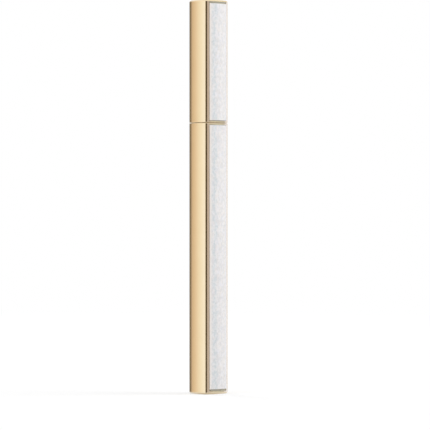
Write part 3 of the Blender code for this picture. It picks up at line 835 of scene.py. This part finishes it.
def innerSeal():
    look = innerCapLook
    low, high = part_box("inner_cap")
    outer, rim = look["bore"] + look["wall"], high.x
    profile = [
        (0, high.z), (outer - look["shoulder"], high.z), (outer, high.z - look["shoulder"]),
        (outer, low.z + look["rimHeight"]), (rim - look["chamfer"], low.z + look["rimHeight"]),
        (rim, low.z + look["rimHeight"] - look["chamfer"]), (rim, low.z),
        (look["bore"], low.z), (look["bore"], high.z - look["roof"]), (0, high.z - look["roof"]),
    ]
    piece = turnedPiece("innerSeal", profile)
    ribFoot = low.z + look["rimHeight"] / 2
    for i in range(look["ribs"]):
        rib = grippingRib(rim, ribFoot, high.z - look["ribSetback"])
        rib.rotation_euler.z = math.tau * i / look["ribs"]
        bpy.ops.object.transform_apply(location=False, rotation=True, scale=False)
        cutWith(piece, rib, "UNION")
    softenEdges(piece, look["edgeSoftness"])
    return piece


tailLook = {"steps": 128, "edgeRound": 0.12 * mm, "floor": 1.0 * mm, "wall": 0.8 * mm}


def tailDisc():
    look = tailLook
    low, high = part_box("tail_plug")
    inner = high.x - look["wall"]
    profile = [(0, low.z + look["floor"]), (inner, low.z + look["floor"]), (inner, high.z)]
    profile += roundTop(high.x, high.z, look["edgeRound"])
    profile += roundFoot(high.x, low.z, look["edgeRound"])
    profile.append((0, low.z))
    piece = turnedPiece("tailDisc", profile, look["steps"])
    shadeSmooth(piece)
    return piece


collar, ferrule, brush = collarRing(), tipFerrule(), brushFibres()
nozzle, bandPlace = nozzleFront()
dress(collar, "barrel", satinGold, "gold", "neck_collar")
dress(nozzle, "barrel", glossBlack, "gloss_black", "nozzle")
dullBand(nozzle, bandPlace)
dress(ferrule, "barrel", glossBlack, "gloss_black", "tip_holder")
dress(brush, "barrel", inkedFibre, "ink_black", "brush_tip")
dress(tailDisc(), "barrel", gold, "gold", "tail_plug")
dress(innerSeal(), "cap", moulded["whitePlastic"], "white_plastic", "inner_cap")
print("turned pieces made")

innerFinishes = {
    "ink_tank": moulded["naturalPlastic"],
    "tank_plug": moulded["naturalPlastic"],
    "mixing_ball": moulded["polishedSteel"],
    "seal_ring": moulded["blackRubber"],
    "feed_comb": moulded["whitePlastic"],
    "feed_wick": inkedFibre,
}
for node, material in innerFinishes.items():
    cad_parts[node].data.materials.clear()
    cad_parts[node].data.materials.append(material)
print("inner pieces finished")


# Camera

cameraLook = {
    "turn": 42.5,            # degrees, round to the left of the front panel
    "distance": 900 * mm,
    "eyeLevel": 58.13 * mm,
    "aside": 2.10 * mm,      # the view's middle, to the right of the pen's axis
    "lens": 231.3,
}


def addCamera():
    turn = math.radians(cameraLook["turn"])
    forward = Vector((math.sin(turn), math.cos(turn), 0))
    right = Vector((math.cos(turn), -math.sin(turn), 0))
    aim = right * cameraLook["aside"] + Vector((0, 0, cameraLook["eyeLevel"]))
    bpy.ops.object.camera_add(location=aim - forward * cameraLook["distance"],
                              rotation=(math.pi / 2, 0, -turn))
    camera = bpy.context.object
    camera.data.lens = cameraLook["lens"]
    scene.camera = camera


# Studio

# What metal sees round the pen. The turn is in degrees from the -X side towards -Y, and back round.
studioLook = {
    "ring": [
        (-180, (0.85, 0.90, 1.00)),
        (-168, (1.10, 1.16, 1.28)),
        (-142, (1.10, 1.16, 1.28)),
        (-136, (0.22, 0.20, 0.17)),
        (-75, (0.22, 0.20, 0.17)),
        (-69, (0.80, 0.68, 0.58)),
        (-62, (0.81, 0.69, 0.56)),
        (-47, (0.95, 0.86, 0.79)),
        (-35, (1.04, 1.05, 1.02)),
        (-20, (1.13, 1.19, 1.29)),
        (-10, (1.20, 1.32, 1.53)),
        (-2, (0.64, 0.58, 0.46)),
        (6, (0.29, 0.24, 0.16)),
        (16, (0.14, 0.105, 0.055)),
        (27, (0.055, 0.032, 0.003)),
        (70, (0.055, 0.032, 0.003)),
        (80, (0.25, 0.21, 0.155)),
        (91, (0.60, 0.59, 0.70)),
        (106, (0.60, 0.59, 0.70)),
        (118, (0.44, 0.37, 0.27)),
        (128, (0.30, 0.24, 0.16)),
        (146, (0.33, 0.27, 0.20)),
        (160, (0.47, 0.45, 0.44)),
        (172, (0.61, 0.65, 0.73)),
    ],
    "below": (0.92, 1.0, 1.15),
    "deep": (0.62, 0.62, 0.64),       # straight down, where the pen shades its own floor
    "above": (1.06, 1.11, 1.18),
    "belowShare": 0.88,               # how much of the ring it hides
    "aboveReach": (0.17, 0.5),        # the ray's height where each sets in, and where it is full
    "belowReach": (-0.1, -0.26),
    "deepReach": (-0.45, -0.9),
    "ambient": 0.45,
    "floorSize": 40,
    "floorDrop": 0.02 * mm,
    "floorPaper": (0.5, 0.5, 0.5, 1.0),
    "floorGlow": (0.5, 0.86),         # near the pen and far off
    "floorReach": (0.3, 1.6),
    "floorFade": (0.3, 0.75),         # where the floor turns into the plain white backdrop
}


def studioWorld():
    world = bpy.data.worlds.new("studio")
    world.use_nodes = True
    scene.world = world
    world.cycles.sampling_method = "NONE"
    tree = world.node_tree
    join = tree.links.new
    background = tree.nodes["Background"]
    direction = addNode(tree, "SeparateXYZ")
    join(addNode(tree, "TexCoord").outputs["Generated"], direction.inputs[0])
    flipX, flipY = (addNode(tree, "Math", operation="MULTIPLY") for _ in range(2))
    flipX.inputs[1].default_value = flipY.inputs[1].default_value = -1.0
    join(direction.outputs["X"], flipX.inputs[0])
    join(direction.outputs["Y"], flipY.inputs[0])
    turn = addNode(tree, "Math", operation="ARCTAN2")
    join(flipY.outputs[0], turn.inputs[0])
    join(flipX.outputs[0], turn.inputs[1])
    place = addNode(tree, "MapRange", From_Min=-math.pi, From_Max=math.pi)
    join(turn.outputs[0], place.inputs["Value"])
    ring = addNode(tree, "ValToRGB")
    join(place.outputs["Result"], ring.inputs["Fac"])
    stops = ring.color_ramp.elements
    for index, (degrees, colour) in enumerate(studioLook["ring"]):
        share = (degrees + 180) / 360
        stop = stops[index] if index < len(stops) else stops.new(share)
        stop.position = share
        stop.color = (*colour, 1.0)
    height = direction.outputs["Z"]
    rise = smoothRange(tree, height, studioLook["aboveReach"])
    fall = smoothRange(tree, height, studioLook["belowReach"], studioLook["belowShare"])
    sink = smoothRange(tree, height, studioLook["deepReach"])
    lidded = mixed(tree, rise, ring.outputs["Color"], studioLook["above"])
    under = mixed(tree, sink, studioLook["below"], studioLook["deep"])
    seen = mixed(tree, fall, lidded, under)
    rays = addNode(tree, "LightPath")
    ambient = (studioLook["ambient"],) * 3
    lit = mixed(tree, rays.outputs["Is Glossy Ray"], ambient, seen)
    lit = mixed(tree, rays.outputs["Is Transmission Ray"], lit, seen)
    join(mixed(tree, rays.outputs["Is Camera Ray"], lit, plainWhite), background.inputs["Color"])


def mixedShader(tree, share, first, second):
    node = addNode(tree, "MixShader")
    tree.links.new(share, node.inputs["Fac"])
    tree.links.new(first.outputs[0], node.inputs[1])
    tree.links.new(second.outputs[0], node.inputs[2])
    return node


def studioFloor():  # camera rays see it lit by its own glow, and white far off; mirrors look through it
    bpy.ops.mesh.primitive_plane_add(size=studioLook["floorSize"],
                                     location=(0, 0, -studioLook["floorDrop"]))
    floor = bpy.context.object
    floor.name = floor.data.name = "studioFloor"
    material = bpy.data.materials.new("paleFloor")
    material.use_nodes = True
    tree = material.node_tree
    join = tree.links.new
    tree.nodes.remove(tree.nodes["Principled BSDF"])
    paper = addNode(tree, "BsdfDiffuse", Color=studioLook["floorPaper"])
    glow = addNode(tree, "Emission")
    away = addNode(tree, "VectorMath", operation="LENGTH")
    join(addNode(tree, "TexCoord").outputs["Object"], away.inputs[0])
    (near, far), (nearGlow, farGlow) = studioLook["floorReach"], studioLook["floorGlow"]
    fade = addNode(tree, "MapRange", From_Min=near, From_Max=far, To_Min=nearGlow, To_Max=farGlow)
    join(away.outputs["Value"], fade.inputs["Value"])
    join(fade.outputs["Result"], glow.inputs["Strength"])
    lifted = addNode(tree, "AddShader")
    join(paper.outputs[0], lifted.inputs[0])
    join(glow.outputs[0], lifted.inputs[1])
    distant = smoothRange(tree, away.outputs["Value"], studioLook["floorFade"])
    levelled = mixedShader(tree, distant, lifted, addNode(tree, "Emission"))
    rays = addNode(tree, "LightPath")
    forCamera = mixedShader(tree, rays.outputs["Is Camera Ray"], paper, levelled)
    clear = addNode(tree, "BsdfTransparent")
    forMirror = mixedShader(tree, rays.outputs["Is Glossy Ray"], forCamera, clear)
    join(forMirror.outputs[0], tree.nodes["Material Output"].inputs["Surface"])
    floor.data.materials.append(material)


lampAim = 64 * mm    # half-way up the closed pen
lampLook = {
    "rightKey": {"turn": 135, "height": 350 * mm, "distance": 1.2, "size": (0.8, 0.8), "power": 12.5},
    "leftFill": {"turn": -10, "height": 300 * mm, "distance": 1.3, "size": (0.9, 0.9), "power": 4.0},
    "topSoft": {"turn": 60, "height": 1.3, "distance": 0.3, "size": (1.0, 1.0), "power": 5.0},
    "backSoft": {"turn": -95, "height": 350 * mm, "distance": 1.3, "size": (0.9, 0.9), "power": 10.0},
}
stripLook = {  # tall lamps that light only the pieces named with them
    "nozzleStrip": {"pieces": (nozzle, ferrule), "turn": -12, "height": 285 * mm, "aim": 285 * mm,
                    "distance": 0.5, "size": (0.36, 0.51), "power": 8.8},
    "collarBand": {"pieces": (collar,), "turn": 16, "height": 90 * mm,
                   "distance": 0.5, "size": (0.40, 0.9), "power": 1.0},
    "collarFill": {"pieces": (collar,), "turn": 59, "height": 90 * mm,
                   "distance": 0.5, "size": (0.37, 0.9), "power": 0.78},
    "frameFill": {"pieces": (barrel, cap), "turn": 131, "height": 64 * mm,
                  "distance": 0.5, "size": (0.34, 0.36), "power": 0.21, "colour": (0.45, 0.70, 1.0)},
    "edgeFill": {"pieces": (barrel, cap), "turn": 161, "height": 64 * mm,
                 "distance": 0.5, "size": (0.13, 0.36), "power": 0.22, "colour": (0.40, 0.54, 1.0)},
}


def addLamp(name, look):
    turn = math.radians(look["turn"])
    place = Vector((-math.cos(turn), -math.sin(turn), 0)) * look["distance"]
    place.z = look["height"]
    bpy.ops.object.light_add(type="AREA", location=place)
    lamp = bpy.context.object
    lamp.name = name
    aim = Vector((0, 0, look.get("aim", lampAim)))
    lamp.rotation_euler = (aim - place).to_track_quat("-Z", "Y").to_euler()
    lamp.data.shape = "RECTANGLE"
    lamp.data.size, lamp.data.size_y = look["size"]
    lamp.data.energy = look["power"]
    lamp.data.color = look.get("colour", plainWhite)
    lamp.visible_glossy = False
    lamp.visible_camera = False
    return lamp


def addStrip(name, look):
    lamp = addLamp(name, look)
    lamp.visible_glossy = True
    receivers = bpy.data.collections.new(name + "Pieces")
    for piece in look["pieces"]:
        receivers.objects.link(piece)
    lamp.light_linking.receiver_collection = receivers


addCamera()
studioWorld()
studioFloor()
for name, look in lampLook.items():
    addLamp(name, look)
for name, look in stripLook.items():
    addStrip(name, look)
print("camera and studio set")
